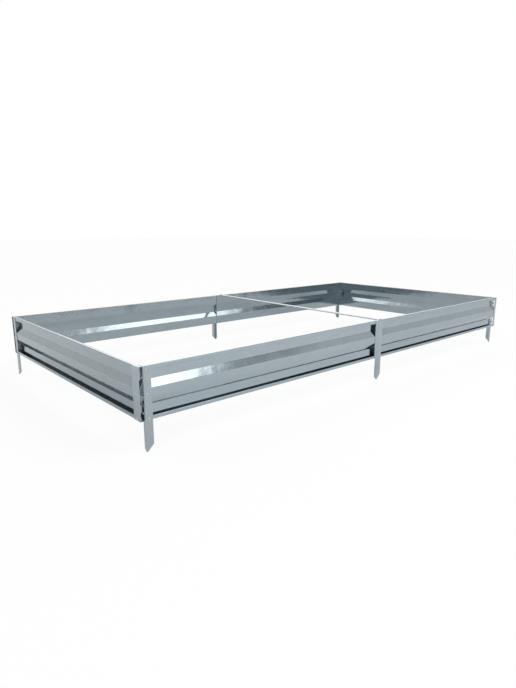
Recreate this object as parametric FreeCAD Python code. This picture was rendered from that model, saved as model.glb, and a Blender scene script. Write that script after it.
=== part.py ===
import FreeCAD, Part
import math
import os
from FreeCAD import Vector

# Galvanised raised garden bed: six roll-formed boards, six pointed angle stakes, cover
# strips and backing plates at the corners, joiners at mid-length, a cross tie, fasteners.
# Millimetres, +Z up. X runs along the bed and Y across it. The origin is on the ground
# under the middle of the bed, level with the points of the stakes.

# ---- Driving dimensions ----------------------------------------------------------------
board_length = 1000.0
board_height = 147.0
board_depth = 12.0         # from the outermost plane of a board to its inner face
sheet = 0.8                # thickness of the board's steel sheet
end_clearance = 0.8        # left at each end of the sheet, clear of the stake's bend

rim_lip = 12.0             # the lip that hangs from the top flange
toe_lip = 10.5             # the lip that stands on the bottom flange
hem_height = 3.2           # the edge of each lip, folded back on itself
rib_top = 108.0            # heights of the four bends of the middle rib
rib_face_top = 85.5
rib_face_bottom = 61.0
rib_bottom = 39.5

stake_face = 22.0          # flange on the outside of the board
stake_lip = 11.0           # flange turned in across the end of the board
stake_thickness = 1.5
stake_below = 86.0         # reach of the point below the boards
point_blunt = 3.0          # flat left at the tip of the point
point_slope = 1.0          # rise of the slanted cuts for each millimetre of width

long_strip_width = 18.0    # cover strip on the open end of a board of the long sides
short_strip_width = 34.0   # the same on a board of the short sides
strip_thickness = 1.0
backing_width = 26.0       # plate on the inner face of the board at the same end
backing_thickness = 1.0
joiner_outer = 17.0        # joiner flange on the outside of the board
joiner_thickness = 1.0

tie_width = 20.0
tie_depth = 4.0            # of the edges turned down along both sides of the tie
tie_thickness = 1.0
tie_from_end = 18.0        # centre of the tie past the left end of the front right board
tie_bolt_in = 6.4          # tie bolt, in from the outer plane of the boards
tie_end_in = 0.5           # end of the tie, in from the same plane
tie_edge_gap = 1.0         # between the turned edges and the inner face of a board

screw_radius = 2.0
screw_length = 9.0
screw_point = 2.5
screw_head_radius = 4.0
screw_head_height = 2.4
bolt_radius = 2.0
bolt_head_radius = 3.9
bolt_head_height = 2.8
bolt_head_bevel = 0.6
bolt_end = 1.0             # thread showing past the nut
lip_bolt_in = 5.2          # bolts in the stake's lip, in from the outer plane
nut_across_flats = 7.0
nut_height = 3.0

bend_radius = 1.4          # of the sheet's middle line at the flanges
rib_bend_radius = 3.0
hem_radius = 0.9
hem_flat = 0.1             # left straight between the two bends of a hem
past = 1.0                 # how far a cutting shape reaches past the face it cuts

# ---- Worked out from those -------------------------------------------------------------
corner_gap = board_depth + backing_thickness + stake_thickness
joint_gap = joiner_thickness + stake_thickness
half_length = (2 * board_length + corner_gap + joint_gap - stake_thickness) / 2
half_width = (board_length + corner_gap - stake_thickness) / 2
board_base = stake_below

# Heights above the foot of a board: screws on its three outer planes, and bolts in the
# lip of the stake, of which the middle one passes behind the rib
screw_heights = [5.0, (rib_face_bottom + rib_face_top) / 2, board_height - rim_lip / 2 - 0.5]
low_bolt = rib_bottom / 2 + 1.0
rib_bolt = rib_face_bottom + 4.0
high_bolt = (rib_top + board_height) / 2 - 10.0

stake_screw_along = stake_face / 2 - stake_thickness
corner_bolt_along = board_length - lip_bolt_in - stake_thickness

# Along a board, seen from outside the bed, local X runs from its left end to its right
# end, local Y goes in from its outermost plane and local Z up from its foot.


def filleted_path(points, radii):
    """Wire through (depth, height) points with an arc of the given radius at each bend."""
    edges = []
    start = points[0]
    for before, corner, after, radius in zip(points, points[1:], points[2:], radii):
        back = (before - corner).normalize()
        ahead = (after - corner).normalize()
        half_angle = back.getAngle(ahead) / 2
        bisector = (back + ahead).normalize()
        centre = corner + bisector * (radius / math.sin(half_angle))
        reach = radius / math.tan(half_angle)
        first = corner + back * reach
        last = corner + ahead * reach
        edges.append(Part.makeLine(start, first))
        edges.append(Part.Arc(first, centre - bisector * radius, last).toShape())
        start = last
    edges.append(Part.makeLine(start, points[-1]))
    return Part.Wire(edges)


def sheet_section(points, radii, thickness):
    """Face in the XY plane of a bent sheet whose middle line follows the points."""
    middle = filleted_path([Vector(x, y, 0) for x, y in points], radii)
    one_side = middle.makeOffset2D(-thickness / 2, 0, False, True)
    return one_side.makeOffset2D(thickness, 0, True, True).Faces[0]


def upright(section, z_from, z_to):
    """Solid with the same plan section from z_from to z_to."""
    section.translate(Vector(0, 0, z_from))
    return section.extrude(Vector(0, 0, z_to - z_from))


def block(x_range, y_range, z_range):
    low = Vector(x_range[0], y_range[0], z_range[0])
    size = Vector(x_range[1], y_range[1], z_range[1]) - low
    return Part.makeBox(size.x, size.y, size.z, low)


def hole_across(x, z, y_from, y_to, radius):
    """Cylinder that cuts a hole from one Y to another."""
    start = Vector(x, y_from - past, z)
    return Part.makeCylinder(radius, y_to - y_from + 2 * past, start, Vector(0, 1, 0))


def holes_in_lip(x_from, x_to):
    """Cylinders that cut the holes for the bolts through a stake's lip."""
    return [Part.makeCylinder(bolt_radius, x_to - x_from + 2 * past,
                              Vector(x_from - past, lip_bolt_in, z), Vector(1, 0, 0))
            for z in (low_bolt, rib_bolt, high_bolt)]


# ---- Boards ----------------------------------------------------------------------------
def board(flange, at_corner, tie_along):
    """Roll-formed board: a rim and a toe channel, and a rib that stands out between."""
    outer = sheet / 2
    inner = board_depth - sheet / 2
    hem = outer + 2 * hem_radius + hem_flat
    rim_edge = board_height - rim_lip + sheet / 2
    toe_edge = toe_lip - sheet / 2
    points = [
        (hem, rim_edge + hem_height), (hem, rim_edge), (outer, rim_edge),
        (outer, board_height - sheet / 2), (inner, board_height - sheet / 2),
        (inner, rib_top), (outer, rib_face_top),
        (outer, rib_face_bottom), (inner, rib_bottom),
        (inner, sheet / 2), (outer, sheet / 2),
        (outer, toe_edge), (hem, toe_edge), (hem, toe_edge - hem_height)]
    flange_bends = [hem_radius, hem_radius, bend_radius, bend_radius]
    radii = flange_bends + [rib_bend_radius] * 4 + flange_bends[::-1]
    section = sheet_section(points, radii, sheet)
    # turned from (depth, height) in the XY plane to stand across local X
    section.rotate(Vector(0, 0, 0), Vector(1, 1, 1), 120)
    section.translate(Vector(end_clearance, 0, 0))
    profile = section.extrude(Vector(board_length - 2 * end_clearance, 0, 0))

    holes = [hole_across(x, z, 0, hem, screw_radius)
             for x in (stake_screw_along, board_length - flange / 2) for z in screw_heights]
    if at_corner:
        holes += [hole_across(corner_bolt_along, z, board_depth - sheet, board_depth, bolt_radius)
                  for z in (low_bolt, high_bolt)]
    if tie_along is not None:
        start = Vector(tie_along, tie_bolt_in, board_height - sheet - past)
        holes.append(Part.makeCylinder(bolt_radius, sheet + 2 * past, start))
    return profile.cut(holes).Solids[0]


# ---- Stakes ----------------------------------------------------------------------------
def stake():
    """Steel angle at the left end of a board, cut to a point below it."""
    middle = stake_thickness / 2
    face_end = stake_face - stake_thickness
    lip_end = stake_lip - stake_thickness
    section = sheet_section([(-middle, lip_end), (-middle, -middle), (face_end, -middle)],
                            [stake_thickness], stake_thickness)
    angle = upright(section, -stake_below, board_height)

    # both flanges rise away from a blunt tip at the bend
    tip = -stake_below
    edge = -stake_thickness
    flat_end = edge + point_blunt
    cuts = []
    for along, width in ((Vector(1, 0, 0), stake_face), (Vector(0, 1, 0), stake_lip)):
        reach = width + past
        rise = (reach - point_blunt) * point_slope
        corners = [(flat_end, tip), (edge + reach, tip + rise), (edge + reach, tip - past),
                   (flat_end, tip - past)]
        across = Vector(1, 1, 0) - along
        outline = [along * out + across * (edge - past) + Vector(0, 0, z) for out, z in corners]
        face = Part.Face(Part.makePolygon(outline + outline[:1]))
        cuts.append(face.extrude(across * (stake_face + 2 * past)))

    holes = [hole_across(stake_screw_along, z, edge, 0, screw_radius) for z in screw_heights]
    return angle.cut(cuts + holes + holes_in_lip(edge, 0)).Solids[0]


# ---- Right ends of the boards ----------------------------------------------------------
def cover_strip(width):
    """Flat strip over the outside of a board's open end."""
    strip = block((board_length - width, board_length), (-strip_thickness, 0),
                  (0, board_height))
    holes = [hole_across(board_length - width / 2, z, -strip_thickness, 0, screw_radius)
             for z in screw_heights]
    return strip.cut(holes).Solids[0]


def backing_plate():
    """Flat plate between the inner face of a board and the stake bolted to it."""
    inner = board_depth + backing_thickness
    plate = block((board_length - backing_width, board_length), (board_depth, inner),
                  (0, board_height))
    holes = [hole_across(corner_bolt_along, z, board_depth, inner, bolt_radius)
             for z in (low_bolt, rib_bolt, high_bolt)]
    return plate.cut(holes).Solids[0]


def joiner():
    """Angle over a board's end, with a web that bolts to the stake of the next board."""
    middle = joiner_thickness / 2
    web = board_length + middle
    section = sheet_section([(board_length - joiner_outer, -middle), (web, -middle),
                             (web, board_depth)], [joiner_thickness], joiner_thickness)
    angle = upright(section, 0, board_height)
    holes = [hole_across(board_length - joiner_outer / 2, z, -joiner_thickness, 0, screw_radius)
             for z in screw_heights]
    holes += holes_in_lip(board_length, board_length + joiner_thickness)
    return angle.cut(holes).Solids[0]


# ---- Cross tie -------------------------------------------------------------------------
def cross_tie():
    """Shallow channel from rim to rim that stops the long sides from bowing out."""
    middle = tie_thickness / 2
    side = tie_width / 2 - middle
    section = sheet_section([(-side, tie_depth - tie_thickness), (-side, -middle),
                             (side, -middle), (side, tie_depth - tie_thickness)],
                            [tie_thickness] * 2, tie_thickness)
    reach = half_width - tie_end_in
    channel = upright(section, -reach, reach)
    # turned from (across, depth) in the XY plane to lie along Y with its edges down
    channel.rotate(Vector(0, 0, 0), Vector(1, 0, 0), -90)
    seat = board_base + board_height
    channel.translate(Vector(tie_x, 0, seat))

    # the edges stop short of the boards, so that the flat of the tie lies on the rims
    edge_end = half_width - board_depth - tie_edge_gap
    cuts = [block((tie_x - tie_width, tie_x + tie_width), y_range, (seat - tie_depth, seat))
            for y_range in ((-half_width, -edge_end), (edge_end, half_width))]
    cuts += [Part.makeCylinder(bolt_radius, tie_thickness + 2 * past,
                               Vector(tie_x, y, seat - past))
             for y in (-tie_bolt_y, tie_bolt_y)]
    return channel.cut(cuts).Solids[0]


# ---- Fasteners, drawn with the shank along +Z and the seat of the head at z = 0 --------
def screw():
    """Self-drilling screw with a domed head."""
    crown = Vector(0, 0, -screw_head_height)
    rim = Vector(screw_head_radius, 0, 0)
    shoulder = Vector(screw_head_radius * 0.75, 0, -screw_head_height * 0.68)
    outline = [Part.Arc(crown, shoulder, rim).toShape()]
    outline += Part.makePolygon([rim, Vector(screw_radius, 0, 0),
                                 Vector(screw_radius, 0, screw_length - screw_point),
                                 Vector(0, 0, screw_length), crown]).Edges
    return Part.Face(Part.Wire(outline)).revolve(Vector(0, 0, 0), Vector(0, 0, 1), 360)


def bolt(grip):
    """Cylinder-head bolt for a stack of the given thickness and its nut."""
    head = Part.makeCylinder(bolt_head_radius, bolt_head_height, Vector(0, 0, -bolt_head_height))
    crown = [edge for edge in head.Edges if edge.BoundBox.ZMax < -bolt_head_height + 1e-6]
    head = head.makeChamfer(bolt_head_bevel, crown)
    shank = Part.makeCylinder(bolt_radius, grip + nut_height + bolt_end)
    return head.fuse(shank).removeSplitter().Solids[0]


def nut(grip):
    """Hexagon nut past a stack of the given thickness."""
    radius = nut_across_flats / math.sqrt(3)
    corners = [Vector(radius * math.cos(turn), radius * math.sin(turn), grip)
               for turn in (math.radians(60 * k) for k in range(7))]
    body = Part.Face(Part.makePolygon(corners)).extrude(Vector(0, 0, nut_height))
    return body.cut(Part.makeCylinder(bolt_radius, grip + nut_height + past)).Solids[0]


def fixed_at(shape, position, direction):
    """Copy of a fastener with its head at the position and its shank in the direction."""
    moved = shape.copy()
    turn = FreeCAD.Rotation(Vector(0, 0, 1), direction)
    moved.Placement = FreeCAD.Placement(position, turn)
    return moved


# ---- Assembly --------------------------------------------------------------------------
def placed(shape, turn, x, y):
    """Copy of a shape moved from its board's own frame to the bed."""
    moved = shape.copy()
    moved.rotate(Vector(0, 0, 0), Vector(0, 0, 1), turn)
    moved.translate(Vector(x, y, board_base))
    return moved


front_left_x = -half_length + corner_gap
front_right_x = front_left_x + board_length + joint_gap
tie_x = front_right_x + tie_from_end
tie_bolt_y = half_width - tie_bolt_in

# Each board with its turn, the place of its left end, the width of the flange or strip on
# its right end, and the corners or middles that its left end and its right end meet
sides = [
    ("front_left", 0, front_left_x, -half_width,
     joiner_outer, "front_left", "front_middle"),
    ("front_right", 0, front_right_x, -half_width,
     long_strip_width, "front_middle", "front_right"),
    ("right", 90, half_length, -half_width + corner_gap,
     short_strip_width, "front_right", "back_right"),
    ("back_right", 180, -front_left_x, half_width,
     joiner_outer, "back_right", "back_middle"),
    ("back_left", 180, -front_right_x, half_width,
     long_strip_width, "back_middle", "back_left"),
    ("left", 270, -half_length, half_width - corner_gap,
     short_strip_width, "back_left", "front_left"),
]
tie_holes = {"front_right": tie_x - front_right_x, "back_right": -front_left_x - tie_x}

inward = Vector(0, 1, 0)
rightward = Vector(1, 0, 0)
downward = Vector(0, 0, -1)
nodes = {}
fasteners = {name: [] for name in (
    "stake_screws", "strip_screws", "joiner_screws", "corner_bolts", "corner_nuts",
    "joiner_bolts", "joiner_nuts", "tie_bolts", "tie_nuts")}

for name, turn, x, y, flange, left_place, right_place in sides:
    from_corner = not left_place.endswith("middle")
    to_corner = not right_place.endswith("middle")
    pieces = {
        name + "_board": board(flange, to_corner, tie_holes.get(name)),
        left_place + "_stake": stake()}
    if to_corner:
        pieces[right_place + "_strip"] = cover_strip(flange)
        pieces[right_place + "_backing"] = backing_plate()
    else:
        pieces[right_place.replace("middle", "joiner")] = joiner()
    for piece, shape in pieces.items():
        nodes[piece] = placed(shape, turn, x, y)

    right_end = "strip" if to_corner else "joiner"
    for z in screw_heights:
        seats = {"stake_screws": Vector(stake_screw_along, -stake_thickness, z),
                 right_end + "_screws": Vector(board_length - flange / 2, -strip_thickness, z)}
        for group, seat in seats.items():
            fasteners[group].append(placed(fixed_at(screw(), seat, inward), turn, x, y))

    left_end = "corner" if from_corner else "joiner"
    for z in (low_bolt, rib_bolt, high_bolt):
        grip = stake_thickness + (backing_thickness if from_corner else joiner_thickness)
        if from_corner and z != rib_bolt:
            grip += sheet
        seat = Vector(-grip, lip_bolt_in, z)
        for group, shape in (("_bolts", bolt(grip)), ("_nuts", nut(grip))):
            moved = placed(fixed_at(shape, seat, rightward), turn, x, y)
            fasteners[left_end + group].append(moved)

nodes["cross_tie"] = cross_tie()
tie_top = board_base + board_height + tie_thickness
for y in (-tie_bolt_y, tie_bolt_y):
    seat = Vector(tie_x, y, tie_top)
    grip = tie_thickness + sheet
    fasteners["tie_bolts"].append(fixed_at(bolt(grip), seat, downward))
    fasteners["tie_nuts"].append(fixed_at(nut(grip), seat, downward))

for name, shapes in fasteners.items():
    nodes[name] = Part.makeCompound(shapes)

os.makedirs("parts", exist_ok=True)
for name, shape in nodes.items():
    shape.exportStep("parts/" + name + ".step")
    print(name, len(shape.Solids), "solid(s)", shape.isValid(), round(shape.Volume), "mm3")
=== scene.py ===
import math

import bpy
from mathutils import Matrix, Vector


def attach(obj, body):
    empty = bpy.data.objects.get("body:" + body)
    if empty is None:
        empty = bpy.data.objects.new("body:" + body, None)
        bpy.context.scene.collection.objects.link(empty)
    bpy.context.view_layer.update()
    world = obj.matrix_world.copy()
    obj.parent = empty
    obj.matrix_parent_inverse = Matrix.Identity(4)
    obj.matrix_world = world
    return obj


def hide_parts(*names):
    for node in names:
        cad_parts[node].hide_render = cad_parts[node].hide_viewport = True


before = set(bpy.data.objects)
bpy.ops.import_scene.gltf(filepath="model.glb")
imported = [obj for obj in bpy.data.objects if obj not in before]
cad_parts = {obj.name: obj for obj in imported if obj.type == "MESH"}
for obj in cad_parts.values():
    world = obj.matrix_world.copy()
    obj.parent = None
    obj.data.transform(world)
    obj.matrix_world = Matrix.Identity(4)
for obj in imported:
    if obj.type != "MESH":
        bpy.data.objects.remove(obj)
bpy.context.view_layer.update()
print("frame loaded:", len(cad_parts), "nodes")

# The camera stands where the photo was taken from, fitted to the bed's straight edges.
cameraSettings = {
    "position": (-1.6002, -1.6300, 0.5710),
    "turn": 41.53,             # degrees from +Y towards +X
    "tilt": 12.708,            # degrees down
    "focal": 509.59,           # in pixels of the 516 x 688 frame
    "frameHeight": 688,
    "sensorHeight": 36.0,      # mm
    "clip": (0.01, 100.0),     # m
}


def makeCamera(settings):
    data = bpy.data.cameras.new("camera")
    camera = bpy.data.objects.new("camera", data)
    bpy.context.scene.collection.objects.link(camera)
    data.sensor_fit = "VERTICAL"
    data.sensor_height = settings["sensorHeight"]
    data.lens = settings["focal"] / settings["frameHeight"] * settings["sensorHeight"]
    data.clip_start, data.clip_end = settings["clip"]
    turn = Matrix.Rotation(-math.radians(settings["turn"]), 4, "Z")
    tilt = Matrix.Rotation(math.radians(90 - settings["tilt"]), 4, "X")
    camera.matrix_world = Matrix.Translation(settings["position"]) @ turn @ tilt
    bpy.context.scene.camera = camera


makeCamera(cameraSettings)
print("camera placed")


def linearColour(hexColour):
    channels = [int(hexColour[i:i + 2], 16) / 255 for i in (1, 3, 5)]
    linear = [c / 12.92 if c <= 0.04045 else ((c + 0.055) / 1.055) ** 2.4 for c in channels]
    return (*linear, 1.0)


def addNode(tree, kind, settings=None, inputs=None):
    node = tree.nodes.new(kind)
    for name, value in (settings or {}).items():
        setattr(node, name, value)
    for socket, value in (inputs or {}).items():
        if isinstance(value, bpy.types.NodeSocket):
            tree.links.new(value, node.inputs[socket])
        else:
            node.inputs[socket].default_value = value
    return node


def newMaterial(name):
    material = bpy.data.materials.new(name)
    material.use_nodes = True
    material.node_tree.nodes.clear()
    return material, material.node_tree


# Hot-dip galvanised steel sheet, rolled and then dipped. The zinc has dulled to a blue-grey
# skin that mirrors softly: crystals of slightly different tone, faint streaks along the
# rolling direction, cloudy patches, and a painted highlight: a lighter colour along each
# edge.
# Crystals are in mm; tone, streak and cloud are shares of the colour.
galvanisedSettings = {
    "sheet": {"colour": "#9EA9AE", "roughness": 0.115, "crystal": 9.0,
              "tone": 0.06, "streak": 0.10, "cloud": 0.14, "ripple": 0.06},
    "stake": {"colour": "#A6AFB3", "roughness": 0.24, "crystal": 6.0,
              "tone": 0.05, "streak": 0.04, "cloud": 0.06, "ripple": 0.06},
    "trim": {"colour": "#A2ACB1", "roughness": 0.20, "crystal": 7.0,
             "tone": 0.05, "streak": 0.04, "cloud": 0.06, "ripple": 0.06},
    "tie": {"colour": "#B4BBBE", "roughness": 0.28, "crystal": 5.0,
            "tone": 0.04, "streak": 0.05, "cloud": 0.05, "ripple": 0.05},
}
# What every galvanised piece shares, with sizes in mm.
dippingSettings = {
    "crystalRandomness": 0.9,
    "streakWidth": 2.0,
    "streakLength": 300.0,
    "cloudSize": 90.0,         # left by the draining zinc
    "waveLength": 60.0,        # the sheet is not quite flat
    "waveHeight": 10.0,        # scaled down by each finish's ripple
    "reliefShare": 0.04,
    "reliefHeight": 1.0,
    "glossSpread": 0.05,
    "edgeRadius": 0.6,
    "edgeFacing": (0.98, 0.80),    # where the edge's brighter line starts and is full
    "edgeHighlightColour": "#D3D8DA",       # the painted highlight's colour along the edges
}


def galvanisedSteel(name, settings, shared, rolled, paintedLight=1.0):
    material, tree = newMaterial(name)
    # Object coordinates are in metres, so a pattern's scale is 1000 over its size in mm
    place = addNode(tree, "ShaderNodeTexCoord").outputs["Object"]
    # zinc crystals, in cells as wide as the real ones
    crystals = addNode(tree, "ShaderNodeTexVoronoi", {"feature": "F1"}, {
        "Vector": place, "Scale": 1000 / settings["crystal"],
        "Randomness": shared["crystalRandomness"]})
    crystal = addNode(tree, "ShaderNodeSeparateColor", None, {0: crystals.outputs["Color"]})
    # rolling streaks, narrow across the sheet and long in the rolling direction
    lengths = [1000 / shared["streakWidth"]] * 3
    lengths[rolled] = 1000 / shared["streakLength"]
    stretched = addNode(tree, "ShaderNodeMapping", None, {
        "Vector": place, "Scale": lengths})
    streaks = addNode(tree, "ShaderNodeTexNoise", None, {
        "Vector": stretched.outputs[0], "Scale": 1.0, "Detail": 2.0})
    clouds = addNode(tree, "ShaderNodeTexNoise", None, {
        "Vector": place, "Scale": 1000 / shared["cloudSize"], "Detail": 4.0,
        "Roughness": 0.6})
    # the patterns darken and lighten the colour about the board's painted light and shade,
    # a factor that scales each board's colour up or down
    spread = settings["tone"] + settings["streak"] + settings["cloud"]
    tone = addNode(tree, "ShaderNodeMath", {"operation": "MULTIPLY_ADD"}, {
        0: crystal.outputs[0], 1: settings["tone"], 2: paintedLight - spread / 2})
    for source, share in ((streaks.outputs[0], "streak"), (clouds.outputs[0], "cloud")):
        tone = addNode(tree, "ShaderNodeMath", {"operation": "MULTIPLY_ADD"}, {
            0: source, 1: settings[share], 2: tone.outputs[0]})
    skin = addNode(tree, "ShaderNodeVectorMath", {"operation": "SCALE"}, {
        0: linearColour(settings["colour"])[:3], "Scale": tone.outputs[0]})
    # painted highlight: the colour turns lighter along each edge, as far in as the rounded
    # normal turns
    rounded = addNode(tree, "ShaderNodeBevel", {"samples": 4}, {
        "Radius": shared["edgeRadius"] / 1000})
    flat = addNode(tree, "ShaderNodeNewGeometry").outputs["True Normal"]
    facing = addNode(tree, "ShaderNodeVectorMath", {"operation": "DOT_PRODUCT"}, {
        0: rounded.outputs[0], 1: flat})
    starts, full = shared["edgeFacing"]
    edge = addNode(tree, "ShaderNodeMapRange", None, {
        "Value": facing.outputs["Value"], "From Min": starts, "From Max": full}).outputs[0]
    colour = addNode(tree, "ShaderNodeMix", {"data_type": "RGBA"}, {
        0: edge, 6: skin.outputs[0], 7: linearColour(shared["edgeHighlightColour"])}).outputs[2]
    # the gloss differs a little from crystal to crystal and from cloud to cloud
    roughness = addNode(tree, "ShaderNodeMath", {"operation": "MULTIPLY_ADD"}, {
        0: crystal.outputs[1], 1: shared["glossSpread"],
        2: settings["roughness"] - shared["glossSpread"]}).outputs[0]
    roughness = addNode(tree, "ShaderNodeMath", {"operation": "MULTIPLY_ADD"}, {
        0: clouds.outputs[0], 1: shared["glossSpread"], 2: roughness}).outputs[0]
    # shallow waves in the sheet, and the crystals' own relief on top
    waves = addNode(tree, "ShaderNodeTexNoise", None, {
        "Vector": place, "Scale": 1000 / shared["waveLength"], "Detail": 1.0})
    wavy = addNode(tree, "ShaderNodeBump", None, {
        "Strength": settings["ripple"], "Distance": shared["waveHeight"] / 1000,
        "Height": waves.outputs[0]})
    relief = addNode(tree, "ShaderNodeBump", None, {
        "Strength": shared["reliefShare"], "Distance": shared["reliefHeight"] / 1000,
        "Height": crystals.outputs["Distance"], "Normal": wavy.outputs[0]})
    shader = addNode(tree, "ShaderNodeBsdfPrincipled", None, {
        "Base Color": colour, "Metallic": 1.0, "Roughness": roughness,
        "Normal": relief.outputs[0]})
    addNode(tree, "ShaderNodeOutputMaterial", None, {"Surface": shader.outputs["BSDF"]})
    return material


alongX, alongY, alongZ = 0, 1, 2
# every board is cut from its own sheet; its colour is scaled up or down as painted light
# and shade, for the light that falls on that board
sheetSettings = {
    "front_left_board": {"rolled": alongX, "paintedLight": 1.05},
    "front_right_board": {"rolled": alongX, "paintedLight": 0.98},
    "right_board": {"rolled": alongY, "paintedLight": 0.92},
    "back_right_board": {"rolled": alongX, "paintedLight": 0.87},
    "back_left_board": {"rolled": alongX, "paintedLight": 0.92},
    "left_board": {"rolled": alongY, "paintedLight": 0.91},
}
materials = {}
for use, name, rolled in (("stake", "galvanisedAngle", alongZ),
                          ("trim", "galvanisedStrip", alongZ),
                          ("tie", "galvanisedChannel", alongY)):
    materials[use] = galvanisedSteel(name, galvanisedSettings[use], dippingSettings, rolled)
for number, (board, sheet) in enumerate(sheetSettings.items(), 1):
    materials[board] = galvanisedSteel(
        "galvanisedSheet%d" % number, galvanisedSettings["sheet"], dippingSettings, **sheet)


def materialFor(name):
    if name in sheetSettings:
        return materials[name]
    if name.endswith("_stake"):
        return materials["stake"]
    if name == "cross_tie":
        return materials["tie"]
    return materials["trim"]   # cover strips, backing plates and joiners


for name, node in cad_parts.items():
    for slot in node.material_slots:
        slot.material = materialFor(name)
print("galvanised finishes ready")


# Bright zinc-plated steel: a thin even plating that mirrors the softboxes as small glints,
# a little cloudy and blue in places, with a painted highlight: a lighter colour along the
# edges.
zincSettings = {
    # the edge colour is a painted highlight along the rims
    "colour": "#CDD3D8", "tint": "#B9C4D2", "edge": "#E8EBED",
    "roughness": 0.20, "spread": 0.12,
    "patch": 2.5,              # mm across, as the other sizes here
    "edgeRadius": 0.2,
    "edgeFacing": (0.97, 0.75),
    "reliefShare": 0.05,
    "reliefHeight": 0.5,
}


def zincPlatedSteel(name, settings):
    material, tree = newMaterial(name)
    place = addNode(tree, "ShaderNodeTexCoord").outputs["Object"]
    patches = addNode(tree, "ShaderNodeTexNoise", None, {
        "Vector": place, "Scale": 1000 / settings["patch"], "Detail": 3.0}).outputs[0]
    skin = addNode(tree, "ShaderNodeMix", {"data_type": "RGBA"}, {
        0: patches, 6: linearColour(settings["colour"]), 7: linearColour(settings["tint"])})
    # painted highlight: the colour turns lighter along the edges, as far in as the rounded
    # normal turns
    rounded = addNode(tree, "ShaderNodeBevel", {"samples": 4}, {
        "Radius": settings["edgeRadius"] / 1000})
    flat = addNode(tree, "ShaderNodeNewGeometry").outputs["True Normal"]
    facing = addNode(tree, "ShaderNodeVectorMath", {"operation": "DOT_PRODUCT"}, {
        0: rounded.outputs[0], 1: flat}).outputs["Value"]
    starts, full = settings["edgeFacing"]
    edge = addNode(tree, "ShaderNodeMapRange", None, {
        "Value": facing, "From Min": starts, "From Max": full}).outputs[0]
    colour = addNode(tree, "ShaderNodeMix", {"data_type": "RGBA"}, {
        0: edge, 6: skin.outputs[2], 7: linearColour(settings["edge"])}).outputs[2]
    roughness = addNode(tree, "ShaderNodeMath", {"operation": "MULTIPLY_ADD"}, {
        0: patches, 1: settings["spread"],
        2: settings["roughness"] - settings["spread"] / 2}).outputs[0]
    relief = addNode(tree, "ShaderNodeBump", None, {
        "Strength": settings["reliefShare"], "Distance": settings["reliefHeight"] / 1000,
        "Height": patches})
    shader = addNode(tree, "ShaderNodeBsdfPrincipled", None, {
        "Base Color": colour, "Metallic": 1.0, "Roughness": roughness,
        "Normal": relief.outputs[0]})
    addNode(tree, "ShaderNodeOutputMaterial", None, {"Surface": shader.outputs["BSDF"]})
    return material


zincPlated = zincPlatedSteel("zincPlatedSteel", zincSettings)
print("zinc plating ready")

# Every fastener sits at a point with an axis, which runs from its head into the joint.
# Boards are listed by their turn in degrees, the place of their left-hand end and the
# width of the flange at their right-hand end, all in mm as the other sizes here are.
seatSettings = {
    "boards": {
        "corner": [(0, -993.25, -506.5, 17), (90, 1007.75, -492.0, 34),
                   (180, 993.25, 506.5, 17), (270, -1007.75, 492.0, 34)],
        "middle": [(0, 9.25, -506.5, 18), (180, -9.25, 506.5, 18)],
    },
    "base": 86.0,              # the boards' foot above the stakes' points
    "length": 1000.0,
    "screwHeights": (5.0, 73.25, 140.5),
    "stakeScrew": (9.5, -1.5),     # along the board and inward, from its left-hand end
    "flangeFace": -1.0,            # how far out the flange's screws sit
    "boltHeights": (20.75, 65.0, 117.5),
    "boltDepth": 5.2,
    "cornerGrips": (3.3, 2.5, 3.3),    # from the head to the nut, for each height
    "middleGrips": (2.5, 2.5, 2.5),
    "tieBolt": (27.25, 500.1, 234.0),
    "tieGrip": 1.8,
}


def fastenerSeats(settings):
    seats = {"screws": [], "bolts": [], "nuts": []}
    for kind, boards in settings["boards"].items():
        for turn, left, front, flange in boards:
            place = (Matrix.Translation((left, front, settings["base"]))
                     @ Matrix.Rotation(math.radians(turn), 4, "Z"))
            inward = place.to_3x3() @ Vector((0, 1, 0))
            along = place.to_3x3() @ Vector((1, 0, 0))
            for height in settings["screwHeights"]:
                near = (*settings["stakeScrew"], height)
                far = (settings["length"] - flange / 2, settings["flangeFace"], height)
                for point in (near, far):
                    seats["screws"].append((place @ Vector(point), inward))
            for height, grip in zip(settings["boltHeights"], settings[kind + "Grips"]):
                head = place @ Vector((-grip, settings["boltDepth"], height))
                seats["bolts"].append((head, along))
                seats["nuts"].append((head + along * grip, along))
    for side in (-1, 1):
        x, y, z = settings["tieBolt"]
        down = Vector((0, 0, -1))
        seats["bolts"].append((Vector((x, side * y, z)), down))
        seats["nuts"].append((Vector((x, side * y, z - settings["tieGrip"])), down))
    return seats


# What the screws, bolts and nuts share.
fastenerSettings = {
    "creaseAngle": 32.0,       # degrees, past which an edge stays sharp
    "shankSides": 12,
    "shankSteps": 40,
    "thinnest": 0.1,           # mm, the least radius that a thread may leave
}


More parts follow.
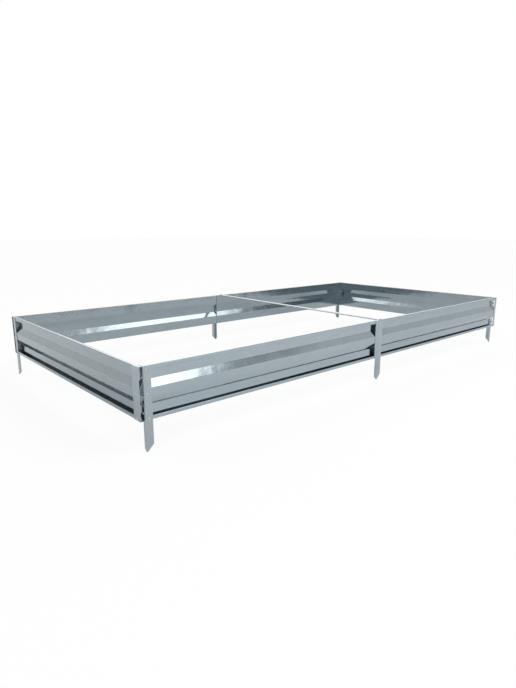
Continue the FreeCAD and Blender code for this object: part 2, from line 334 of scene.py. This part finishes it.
# Heads and shanks are turned about +Z in mm, with the head below zero and the shank above.
# An outline pairs shares of the way from start to end with shares of the radius.
def turned(tree, sides, steps, radius, start, end, outline, thread=None):
    blank = addNode(tree, "GeometryNodeMeshCylinder", None, {
        "Vertices": sides, "Side Segments": steps, "Radius": 1.0, "Depth": 1.0})
    place = addNode(tree, "GeometryNodeInputPosition").outputs[0]
    x, y, z = addNode(tree, "ShaderNodeSeparateXYZ", None, {0: place}).outputs
    # the blank runs from -0.5 to 0.5
    share = addNode(tree, "ShaderNodeMath", {"operation": "ADD"}, {0: z, 1: 0.5}).outputs[0]
    shape = addNode(tree, "ShaderNodeFloatCurve", None, {"Value": share})
    points = shape.mapping.curves[0].points
    for at, width in outline[1:-1]:
        points.new(at, width)
    for point, (at, width) in zip(points, outline):
        point.location = (at, width)
        point.handle_type = "VECTOR"
    shape.mapping.use_clip = False
    shape.mapping.update()
    height = addNode(tree, "ShaderNodeMapRange", None, {
        "Value": share, "To Min": start, "To Max": end}).outputs[0]
    reach = addNode(tree, "ShaderNodeMath", {"operation": "MULTIPLY"}, {
        0: shape.outputs[0], 1: radius}).outputs[0]
    if thread:
        pitch, depth = thread
        angle = addNode(tree, "ShaderNodeMath", {"operation": "ARCTAN2"}, {0: y, 1: x})
        turns = addNode(tree, "ShaderNodeMath", {"operation": "DIVIDE"}, {
            0: angle.outputs[0], 1: 2 * math.pi}).outputs[0]
        climb = addNode(tree, "ShaderNodeMath", {"operation": "DIVIDE"}, {
            0: height, 1: pitch}).outputs[0]
        phase = addNode(tree, "ShaderNodeMath", {"operation": "SUBTRACT"}, {
            0: climb, 1: turns}).outputs[0]
        # the ridge goes from 0 to 0.5 and back in each pitch, so the cut is doubled
        ridge = addNode(tree, "ShaderNodeMath", {"operation": "PINGPONG"}, {
            0: phase, 1: 0.5}).outputs[0]
        groove = addNode(tree, "ShaderNodeMath", {"operation": "MULTIPLY"}, {
            0: ridge, 1: depth}).outputs[0]
        reach = addNode(tree, "ShaderNodeMath", {"operation": "MULTIPLY_ADD"}, {
            0: groove, 1: -2.0, 2: reach}).outputs[0]
        reach = addNode(tree, "ShaderNodeMath", {"operation": "MAXIMUM"}, {
            0: reach, 1: fastenerSettings["thinnest"]}).outputs[0]
    wide = [addNode(tree, "ShaderNodeMath", {"operation": "MULTIPLY"}, {
        0: side, 1: reach}).outputs[0] for side in (x, y)]
    moved = addNode(tree, "ShaderNodeCombineXYZ", None, {
        0: wide[0], 1: wide[1], 2: height})
    return addNode(tree, "GeometryNodeSetPosition", None, {
        "Geometry": blank.outputs["Mesh"], "Position": moved.outputs[0]}).outputs[0]


def cut(tree, operation, body, *tools):
    boolean = addNode(tree, "GeometryNodeMeshBoolean",
                      {"operation": operation, "solver": "EXACT"})
    # only a difference tells the body from its tools
    first = "Mesh 1" if operation == "DIFFERENCE" else "Mesh 2"
    tree.links.new(body, boolean.inputs[first])
    for tool in tools:
        tree.links.new(tool, boolean.inputs["Mesh 2"])
    return boolean.outputs["Mesh"]


def newFastenerTree(name, sizes):
    tree = bpy.data.node_groups.new(name, "GeometryNodeTree")
    kinds = {"Seats": "NodeSocketGeometry", **dict.fromkeys(sizes, "NodeSocketFloat"),
             "Seed": "NodeSocketInt", "Finish": "NodeSocketMaterial"}
    for socket, kind in kinds.items():
        tree.interface.new_socket(socket, in_out="INPUT", socket_type=kind)
    tree.interface.new_socket("Fasteners", in_out="OUTPUT",
                              socket_type="NodeSocketGeometry")
    return tree, tree.nodes.new("NodeGroupInput").outputs


# One copy of the shape goes to each seat, aimed along its axis and tightened to a turn of
# its own. Curved faces are smoothed and the edges between flats stay sharp.
def placeOnSeats(tree, given, shapes, settings):
    joined = addNode(tree, "GeometryNodeJoinGeometry")
    for shape in shapes:
        tree.links.new(shape, joined.inputs[0])
    smooth = addNode(tree, "GeometryNodeSetShadeSmooth", {"domain": "FACE"}, {
        "Geometry": joined.outputs[0], "Shade Smooth": True}).outputs[0]
    bend = addNode(tree, "GeometryNodeInputMeshEdgeAngle").outputs["Unsigned Angle"]
    sharp = addNode(tree, "FunctionNodeCompare", {"data_type": "FLOAT"}, {
        0: bend, 1: math.radians(settings["creaseAngle"])}).outputs[0]
    creased = addNode(tree, "GeometryNodeSetShadeSmooth", {"domain": "EDGE"}, {
        "Geometry": smooth, "Selection": sharp, "Shade Smooth": False}).outputs[0]
    axis = addNode(tree, "GeometryNodeInputNamedAttribute", {"data_type": "FLOAT_VECTOR"},
                   {"Name": "axis"}).outputs[0]
    aimed = addNode(tree, "FunctionNodeAlignRotationToVector", {"axis": "Z"}, {
        "Vector": axis}).outputs[0]
    roll = addNode(tree, "FunctionNodeRandomValue", {"data_type": "FLOAT"}, {
        2: 0.0, 3: 2 * math.pi, "Seed": given["Seed"]}).outputs[1]
    spin = addNode(tree, "FunctionNodeAxisAngleToRotation", None, {
        "Axis": (0, 0, 1), "Angle": roll}).outputs[0]
    rolled = addNode(tree, "FunctionNodeRotateRotation", {"rotation_space": "LOCAL"}, {
        0: aimed, 1: spin}).outputs[0]
    placed = addNode(tree, "GeometryNodeInstanceOnPoints", None, {
        "Points": given["Seats"], "Instance": creased, "Rotation": rolled,
        "Scale": (0.001, 0.001, 0.001)}).outputs[0]     # mm to m
    real = addNode(tree, "GeometryNodeRealizeInstances", None, {0: placed}).outputs[0]
    finished = addNode(tree, "GeometryNodeSetMaterial", None, {
        "Geometry": real, "Material": given["Finish"]})
    output = tree.nodes.new("NodeGroupOutput")
    tree.links.new(finished.outputs[0], output.inputs[0])


def makeFasteners(name, tree, seats, values, replaced):
    points = bpy.data.meshes.new(name + "Seats")
    points.from_pydata([place / 1000 for place, axis in seats], [], [])
    axes = points.attributes.new("axis", "FLOAT_VECTOR", "POINT")
    for entry, (place, axis) in zip(axes.data, seats):
        entry.vector = axis
    draft = bpy.data.objects.new(name + "Draft", points)
    bpy.context.scene.collection.objects.link(draft)
    modifier = draft.modifiers.new("place", "NODES")
    modifier.node_group = tree
    for item in tree.interface.items_tree:
        if item.in_out == "INPUT" and item.name in values:
            modifier[item.identifier] = values[item.name]
    evaluated = draft.evaluated_get(bpy.context.evaluated_depsgraph_get())
    mesh = bpy.data.meshes.new_from_object(evaluated)
    mesh.name = name
    mesh.materials.clear()     # the cuts leave an empty slot before the finish
    mesh.materials.append(values["Finish"])
    bpy.data.objects.remove(draft)
    bpy.data.meshes.remove(points)
    piece = bpy.data.objects.new(name, mesh)
    bpy.context.scene.collection.objects.link(piece)
    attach(piece, "root")
    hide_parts(*replaced)
    print(name, len(mesh.polygons), "faces")


# self-drilling screws with a low domed head and a cross recess
screwSettings = {
    "sizes": {                 # mm, and the inputs of the tree
        "Head radius": 4.0, "Head height": 2.4, "Shank radius": 2.0, "Length": 9.0,
        "Pitch": 1.4, "Thread depth": 0.45,
        "Recess width": 0.9, "Recess length": 4.4, "Recess depth": 1.3,
    },
    "seed": 7,
    "headSides": 20,
    "headSteps": 6,
    "headOutline": [(0.0, 0.18), (0.16, 0.51), (0.33, 0.71), (0.5, 0.84), (0.66, 0.93),
                    (0.83, 0.985), (1.0, 1.0)],
    "shankOutline": [(0.0, 1.0), (0.72, 1.0), (0.98, 0.35), (1.0, 0.1)],
}


def screwTree(settings, shared):
    tree, given = newFastenerTree("domeScrew", settings["sizes"])
    crown = addNode(tree, "ShaderNodeMath", {"operation": "MULTIPLY"}, {
        0: given["Head height"], 1: -1.0}).outputs[0]
    dome = turned(tree, settings["headSides"], settings["headSteps"],
                  given["Head radius"], crown, 0.0, settings["headOutline"])
    # each blade is centred on the crown, so half of its depth cuts
    depth = addNode(tree, "ShaderNodeMath", {"operation": "MULTIPLY"}, {
        0: given["Recess depth"], 1: 2.0}).outputs[0]
    sunk = addNode(tree, "ShaderNodeCombineXYZ", None, {2: crown}).outputs[0]
    blades = []
    for first, second in (("Recess width", "Recess length"),
                          ("Recess length", "Recess width")):
        size = addNode(tree, "ShaderNodeCombineXYZ", None, {
            0: given[first], 1: given[second], 2: depth}).outputs[0]
        blade = addNode(tree, "GeometryNodeMeshCube", None, {"Size": size})
        blades.append(addNode(tree, "GeometryNodeTransform", None, {
            "Geometry": blade.outputs["Mesh"], "Translation": sunk}).outputs[0])
    head = cut(tree, "DIFFERENCE", dome, *blades)
    shank = turned(tree, shared["shankSides"], shared["shankSteps"],
                   given["Shank radius"], 0.0, given["Length"], settings["shankOutline"],
                   (given["Pitch"], given["Thread depth"]))
    placeOnSeats(tree, given, [head, shank], shared)
    return tree


# bolts with a cylindrical cap head, its rim bevelled, and a hexagon socket
boltSettings = {
    "sizes": {
        "Head radius": 3.9, "Head height": 2.8, "Shank radius": 2.0, "Length": 6.5,
        "Pitch": 0.8, "Thread depth": 0.25, "Socket": 1.45, "Socket depth": 1.6,
    },
    "seed": 11,
    "headSides": 24,
    "headSteps": 5,
    "headOutline": [(0.0, 0.85), (0.2, 1.0), (1.0, 1.0)],
    "shankOutline": [(0.0, 1.0), (0.95, 1.0), (1.0, 0.8)],
}


def boltTree(settings, shared):
    tree, given = newFastenerTree("capBolt", settings["sizes"])
    crown = addNode(tree, "ShaderNodeMath", {"operation": "MULTIPLY"}, {
        0: given["Head height"], 1: -1.0}).outputs[0]
    cap = turned(tree, settings["headSides"], settings["headSteps"],
                 given["Head radius"], crown, 0.0, settings["headOutline"])
    depth = addNode(tree, "ShaderNodeMath", {"operation": "MULTIPLY"}, {
        0: given["Socket depth"], 1: 2.0}).outputs[0]
    sunk = addNode(tree, "ShaderNodeCombineXYZ", None, {2: crown}).outputs[0]
    key = addNode(tree, "GeometryNodeMeshCylinder", None, {
        "Vertices": 6, "Radius": given["Socket"], "Depth": depth}).outputs["Mesh"]
    key = addNode(tree, "GeometryNodeTransform", None, {
        "Geometry": key, "Translation": sunk}).outputs[0]
    head = cut(tree, "DIFFERENCE", cap, key)
    shank = turned(tree, shared["shankSides"], shared["shankSteps"],
                   given["Shank radius"], 0.0, given["Length"], settings["shankOutline"],
                   (given["Pitch"], given["Thread depth"]))
    placeOnSeats(tree, given, [head, shank], shared)
    return tree


# hexagon nuts, chamfered on both faces
nutSettings = {
    "sizes": {"Half width": 3.5, "Height": 3.0, "Bore": 2.0},
    "seed": 5,
    "chamferSides": 24,
    "chamferSteps": 6,
    "chamferOutline": [(0.0, 0.88), (0.167, 1.01), (0.833, 1.01), (1.0, 0.88)],
    "boreSides": 12,
    "drill": (-1.0, 5.0),      # from below the nut to above it, mm
}


def nutTree(settings, shared):
    tree, given = newFastenerTree("hexNut", settings["sizes"])
    corner = addNode(tree, "ShaderNodeMath", {"operation": "MULTIPLY"}, {
        0: given["Half width"], 1: 2 / math.sqrt(3)}).outputs[0]
    straight = [(0.0, 1.0), (1.0, 1.0)]
    prism = turned(tree, 6, 1, corner, 0.0, given["Height"], straight)
    chamfer = turned(tree, settings["chamferSides"], settings["chamferSteps"],
                     corner, 0.0, given["Height"], settings["chamferOutline"])
    bore = turned(tree, settings["boreSides"], 1, given["Bore"], *settings["drill"],
                  straight)
    body = cut(tree, "DIFFERENCE", cut(tree, "INTERSECT", prism, chamfer), bore)
    placeOnSeats(tree, given, [body], shared)
    return tree


seats = fastenerSeats(seatSettings)
for name, makeTree, settings, kind, replaced in (
        ("domeScrews", screwTree, screwSettings, "screws",
         ("stake_screws", "strip_screws", "joiner_screws")),
        ("capBolts", boltTree, boltSettings, "bolts",
         ("corner_bolts", "joiner_bolts", "tie_bolts")),
        ("hexNuts", nutTree, nutSettings, "nuts",
         ("corner_nuts", "joiner_nuts", "tie_nuts"))):
    values = {**settings["sizes"], "Seed": settings["seed"], "Finish": zincPlated}
    makeFasteners(name, makeTree(settings, fastenerSettings), seats[kind], values, replaced)
print("fasteners placed")


# The studio: a soft even light all round, with softboxes and a dark gap beside the main
# one. Each is a rectangle on the sky, with its sizes and its soft edges in degrees, the
# turn from +X and the height from the horizon. A later card covers an earlier one.
studioSettings = {
    "horizon": 0.85,
    "zenith": 0.76,
    "blend": (0.1, 0.8),       # sines of the heights between which one fades to the other
    "cards": [
        # the gap, which the slopes of the front boards mirror
        {"turn": -23.6, "height": 29.3, "roll": -9.1, "width": 38.0, "depth": 12.5,
         "softWidth": 30.0, "softDepth": 6.0, "strength": 0.19, "colour": "#BEE0F6"},
        # the main softbox, seen as the white patch on the front left board
        {"turn": -46.1, "height": 38.9, "roll": 34.8, "width": 34.0, "depth": 13.5,
         "softWidth": 4.0, "softDepth": 2.5, "strength": 3.0, "colour": "#FFFFFF"},
        # a softbox for the slopes inside the right board
        {"turn": 122.0, "height": 42.0, "roll": 0.0, "width": 22.0, "depth": 16.0,
         "softWidth": 4.0, "softDepth": 3.0, "strength": 2.6, "colour": "#FFFFFF"},
        # a low one behind the bed for the rims
        {"turn": 46.0, "height": 17.0, "roll": 0.0, "width": 44.0, "depth": 14.0,
         "softWidth": 18.0, "softDepth": 8.0, "strength": 2.0, "colour": "#FFFFFF"},
    ],
}


def cardMask(tree, direction, card):
    turn, height, roll = (math.radians(card[key]) for key in ("turn", "height", "roll"))
    middle = Vector((math.cos(height) * math.cos(turn), math.cos(height) * math.sin(turn),
                     math.sin(height)))
    level = Vector((-math.sin(turn), math.cos(turn), 0.0))
    upward = middle.cross(level)
    across = level * math.cos(roll) + upward * math.sin(roll)
    along = middle.cross(across)
    ahead = addNode(tree, "ShaderNodeVectorMath", {"operation": "DOT_PRODUCT"}, {
        0: direction, 1: middle}).outputs["Value"]
    # only the half of the sky on the card's side
    mask = addNode(tree, "ShaderNodeMath", {"operation": "GREATER_THAN"}, {
        0: ahead, 1: 0.0}).outputs[0]
    for axis, size, soft in ((across, "width", "softWidth"), (along, "depth", "softDepth")):
        offset = addNode(tree, "ShaderNodeVectorMath", {"operation": "DOT_PRODUCT"}, {
            0: direction, 1: axis}).outputs["Value"]
        slope = addNode(tree, "ShaderNodeMath", {"operation": "DIVIDE"}, {
            0: offset, 1: ahead}).outputs[0]
        reach = addNode(tree, "ShaderNodeMath", {"operation": "ABSOLUTE"}, {
            0: slope}).outputs[0]
        outer = math.tan(math.radians((card[size] + card[soft]) / 2))
        inner = math.tan(math.radians((card[size] - card[soft]) / 2))
        edge = addNode(tree, "ShaderNodeMapRange", {"interpolation_type": "SMOOTHSTEP"}, {
            "Value": reach, "From Min": outer, "From Max": inner}).outputs[0]
        mask = addNode(tree, "ShaderNodeMath", {"operation": "MULTIPLY"}, {
            0: mask, 1: edge}).outputs[0]
    return mask


def makeStudio(settings):
    world = bpy.data.worlds.new("studio")
    bpy.context.scene.world = world
    world.use_nodes = True
    tree = world.node_tree
    tree.nodes.clear()
    direction = addNode(tree, "ShaderNodeTexCoord").outputs["Generated"]
    upward = addNode(tree, "ShaderNodeSeparateXYZ", None, {0: direction}).outputs["Z"]
    low, high = settings["blend"]
    strength = addNode(tree, "ShaderNodeMapRange", None, {
        "Value": upward, "From Min": low, "From Max": high,
        "To Min": settings["horizon"], "To Max": settings["zenith"]}).outputs[0]
    light = addNode(tree, "ShaderNodeCombineColor", None, {
        0: strength, 1: strength, 2: strength}).outputs[0]
    for card in settings["cards"]:
        glow = Vector(linearColour(card["colour"])[:3]) * card["strength"]
        light = addNode(tree, "ShaderNodeMix", {"data_type": "RGBA"}, {
            0: cardMask(tree, direction, card), 6: light, 7: (*glow, 1.0)}).outputs[2]
    # the camera itself sees plain white
    seen = addNode(tree, "ShaderNodeLightPath").outputs["Is Camera Ray"]
    light = addNode(tree, "ShaderNodeMix", {"data_type": "RGBA"}, {
        0: seen, 6: light, 7: (1.0, 1.0, 1.0, 1.0)}).outputs[2]
    backdrop = addNode(tree, "ShaderNodeBackground", None, {
        "Color": light, "Strength": 1.0})
    addNode(tree, "ShaderNodeOutputWorld", None, {"Surface": backdrop.outputs[0]})


makeStudio(studioSettings)

# One lamp gives the floor its faint shadow. The bed doesn't mirror it.
lampSettings = {
    "position": (0.75, -1.9, 2.75),
    "target": (-1.0, -0.6, 0.0),
    "size": 1.5,               # m
    "power": 20.0,             # W
}


def makeLamp(settings):
    data = bpy.data.lights.new("floorSoftbox", "AREA")
    data.size = settings["size"]
    data.energy = settings["power"]
    lamp = bpy.data.objects.new("floorSoftbox", data)
    bpy.context.scene.collection.objects.link(lamp)
    aim = Vector(settings["target"]) - Vector(settings["position"])
    lamp.matrix_world = (Matrix.Translation(settings["position"])
                         @ aim.to_track_quat("-Z", "Y").to_matrix().to_4x4())
    lamp.visible_camera = False
    lamp.visible_glossy = False


makeLamp(lampSettings)

# White backdrop paper: matt and so bright that only the faintest shade shows on it.
floorSettings = {
    "reach": 30.0,             # m
    "colour": "#FBFCFD",
    "shadowLeft": 0.12,        # share of the floor's own light and shade that is seen
}


def makeFloor(settings):
    reach = settings["reach"]
    mesh = bpy.data.meshes.new("floor")
    mesh.from_pydata([(-reach, -reach, 0), (reach, -reach, 0), (reach, reach, 0),
                      (-reach, reach, 0)], [], [(0, 1, 2, 3)])
    floor = bpy.data.objects.new("floor", mesh)
    bpy.context.scene.collection.objects.link(floor)
    material, tree = newMaterial("paperBackdrop")
    paper = addNode(tree, "ShaderNodeBsdfDiffuse", None, {
        "Color": linearColour(settings["colour"])})
    glow = addNode(tree, "ShaderNodeEmission", None, {"Strength": 1.0})
    seen = addNode(tree, "ShaderNodeLightPath").outputs["Is Camera Ray"]
    share = addNode(tree, "ShaderNodeMath", {"operation": "MULTIPLY"}, {
        0: seen, 1: 1.0 - settings["shadowLeft"]})
    mixed = addNode(tree, "ShaderNodeMixShader", None, {
        0: share.outputs[0], 1: paper.outputs[0], 2: glow.outputs[0]})
    addNode(tree, "ShaderNodeOutputMaterial", None, {"Surface": mixed.outputs[0]})
    mesh.materials.append(material)


makeFloor(floorSettings)
print("studio and floor ready")

bpy.context.scene.view_settings.view_transform = "Standard"
